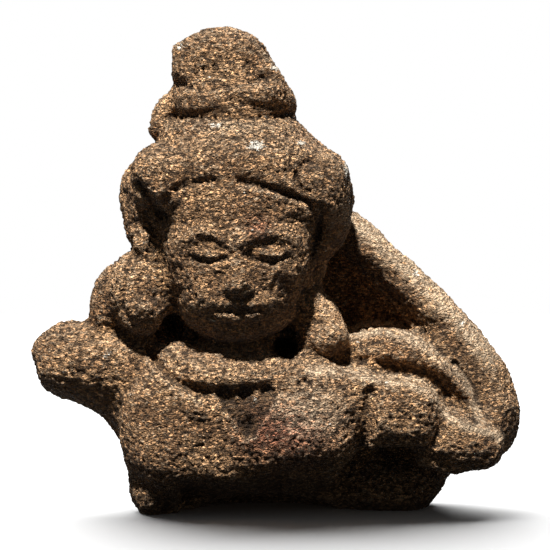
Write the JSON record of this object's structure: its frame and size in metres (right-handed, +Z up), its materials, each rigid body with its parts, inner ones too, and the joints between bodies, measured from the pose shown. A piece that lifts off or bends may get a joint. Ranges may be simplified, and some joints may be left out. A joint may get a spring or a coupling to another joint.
{
  "type": "stone bust",
  "caption": "Worn sandstone bust of a figure with a topknot, collar and heavy earrings, its left arm bent up behind its head, broken off at the chest.",
  "frame": {"origin": "on the surface the stone stands on, under the middle of its box", "axes": "+Z up; the face looks along -Y; the raised left arm is on the +X side"},
  "size_m": [0.2462, 0.1032, 0.2421],
  "materials": {
    "sandstone": "rough, worn"
  },
  "bodies": {
    "root": {"stone_bust": "sandstone"}
  },
  "joints": []
}
